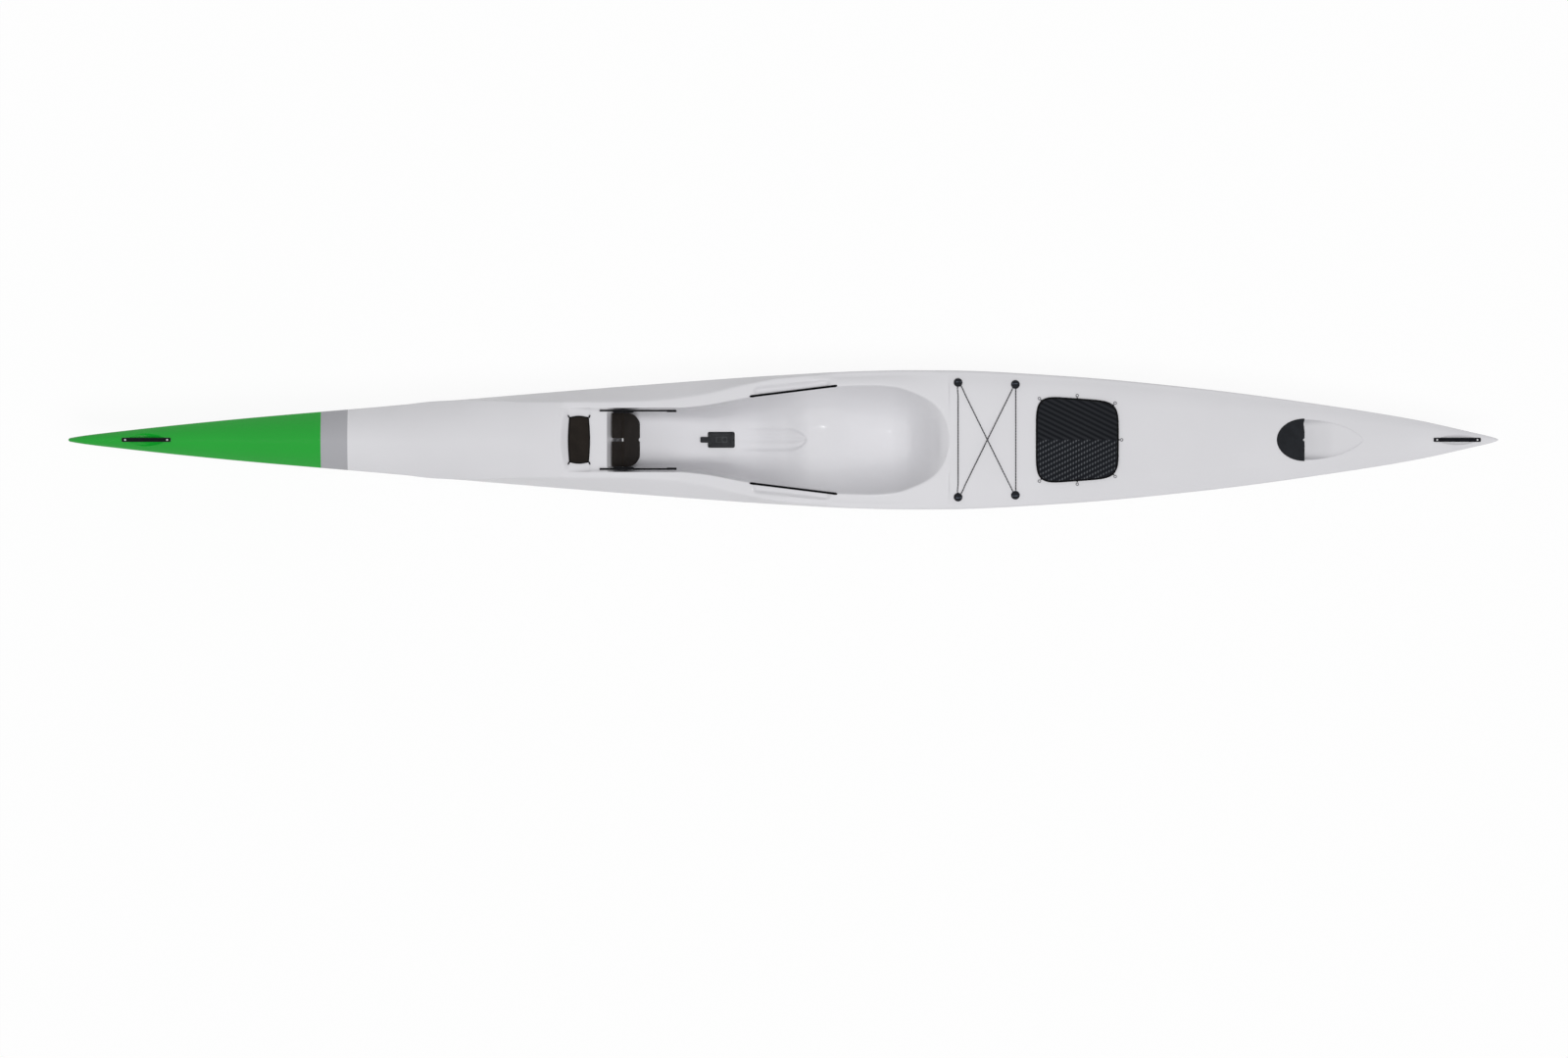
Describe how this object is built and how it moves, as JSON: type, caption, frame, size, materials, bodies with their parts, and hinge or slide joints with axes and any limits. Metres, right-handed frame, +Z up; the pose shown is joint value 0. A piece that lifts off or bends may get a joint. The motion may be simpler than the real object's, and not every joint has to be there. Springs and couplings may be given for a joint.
{
  "type": "surfski",
  "caption": "Long narrow sit-on-top surfski with a moulded seat, footwell, sliding footplate with tilting pedals, understern rudder, bailer and carbon hatch.",
  "frame": {"origin": "on the keel's lowest line, amidships, halfway between bow and stern", "axes": "+X towards the stern, +Y to starboard, +Z up; the bow points along -X"},
  "size_m": [5.2, 0.508, 0.4833],
  "materials": {
    "white_gelcoat": "glossy white gelcoat; the nose is green with a grey band",
    "blade_black": "glossy black moulded blade",
    "black_plastic": "satin black moulded nylon",
    "webbing": "black woven webbing and cord sheath",
    "dark_plate": "satin brownish black plate",
    "carbon": "woven carbon fibre under clear resin",
    "bailer_grey": "dark grey moulded plastic",
    "steel": "stainless steel",
    "foam": "closed cell foam, out of sight"
  },
  "bodies": {
    "boat": {"hull_shell": "white_gelcoat", "foredeck": "white_gelcoat", "footwell": "white_gelcoat", "leg_well": "white_gelcoat", "seat_bucket": "white_gelcoat", "hatch_deck": "white_gelcoat", "stern_deck": "white_gelcoat", "hatch_rim": "white_gelcoat", "seat_support_foam": "foam", "bow_handle": "webbing", "bow_handle_screw_1": "steel", "bow_handle_screw_2": "steel", "stern_handle": "webbing", "stern_handle_screw_1": "steel", "stern_handle_screw_2": "steel", "side_handle_left": "webbing", "side_handle_right": "webbing", "bungee_anchor_front_left": "black_plastic", "bungee_anchor_front_right": "black_plastic", "bungee_anchor_rear_left": "black_plastic", "bungee_anchor_rear_right": "black_plastic", "bungee_cord": "webbing", "hatch_hook_1": "steel", "hatch_hook_2": "steel", "hatch_hook_3": "steel", "hatch_hook_4": "steel", "hatch_hook_5": "steel", "hatch_hook_6": "steel", "hatch_hook_7": "steel", "pocket_tub": "white_gelcoat", "pocket_hook_front_left": "black_plastic", "pocket_hook_front_right": "black_plastic", "pocket_hook_rear_left": "black_plastic", "pocket_hook_rear_right": "black_plastic", "rail_left": "black_plastic", "rail_right": "black_plastic", "bailer_frame": "bailer_grey", "bailer_gasket": "black_plastic", "bailer_scoop": "bailer_grey", "steering_conduit_left": "black_plastic", "steering_conduit_right": "black_plastic", "rudder_tube": "white_gelcoat", "rudder_bush_lower": "black_plastic", "rudder_bush_upper": "black_plastic", "rudder_well": "white_gelcoat", "rudder_cover": "black_plastic"},
    "rudder": {"rudder_blade": "blade_black", "rudder_stock": "steel", "tiller_yoke": "black_plastic", "tiller_nut": "steel"},
    "footplate_carriage": {"footplate": "dark_plate", "footplate_bracket_left": "black_plastic", "footplate_bracket_right": "black_plastic", "hinge_pin": "steel"},
    "left_pedal": {"pedal_left": "dark_plate"},
    "right_pedal": {"pedal_right": "dark_plate"},
    "hatch_lid": {"hatch_cover": "carbon"},
    "pocket_lid": {"pocket_cover": "dark_plate"},
    "bailer_gate": {"bailer_slide": "bailer_grey"}
  },
  "joints": [
    {"name": "rudder_steer", "type": "hinge", "parent": "boat", "child": "rudder", "pos_m": [1.8725, 0, 0], "axis": [0, 0, 1], "range_deg": [-36, 36]},
    {"name": "footplate_slide", "type": "slide", "parent": "boat", "child": "footplate_carriage", "axis": [0.9983, 0, -0.0579], "range_m": [0, 0.115]},
    {"name": "left_pedal_tilt", "type": "hinge", "parent": "footplate_carriage", "child": "left_pedal", "pos_m": [-0.588, 0, 0.17575], "axis": [0, 1, 0], "range_deg": [-9.5, 9.5]},
    {"name": "right_pedal_tilt", "type": "hinge", "parent": "footplate_carriage", "child": "right_pedal", "pos_m": [-0.588, 0, 0.17575], "axis": [0, 1, 0], "range_deg": [-9.5, 9.5]},
    {"name": "hatch_lid_lift", "type": "slide", "parent": "boat", "child": "hatch_lid", "axis": [0, 0, 1], "range_m": [0, 0.15]},
    {"name": "pocket_lid_lift", "type": "slide", "parent": "boat", "child": "pocket_lid", "axis": [0.1947, 0, 0.9809], "range_m": [0, 0.1]},
    {"name": "bailer_gate_slide", "type": "slide", "parent": "boat", "child": "bailer_gate", "axis": [-1, 0, 0], "range_m": [0, 0.03]}
  ],
  "couplings": [
    {"joint": "left_pedal_tilt", "follows": "rudder_steer", "ratio": 0.25},
    {"joint": "right_pedal_tilt", "follows": "rudder_steer", "ratio": -0.25}
  ]
}
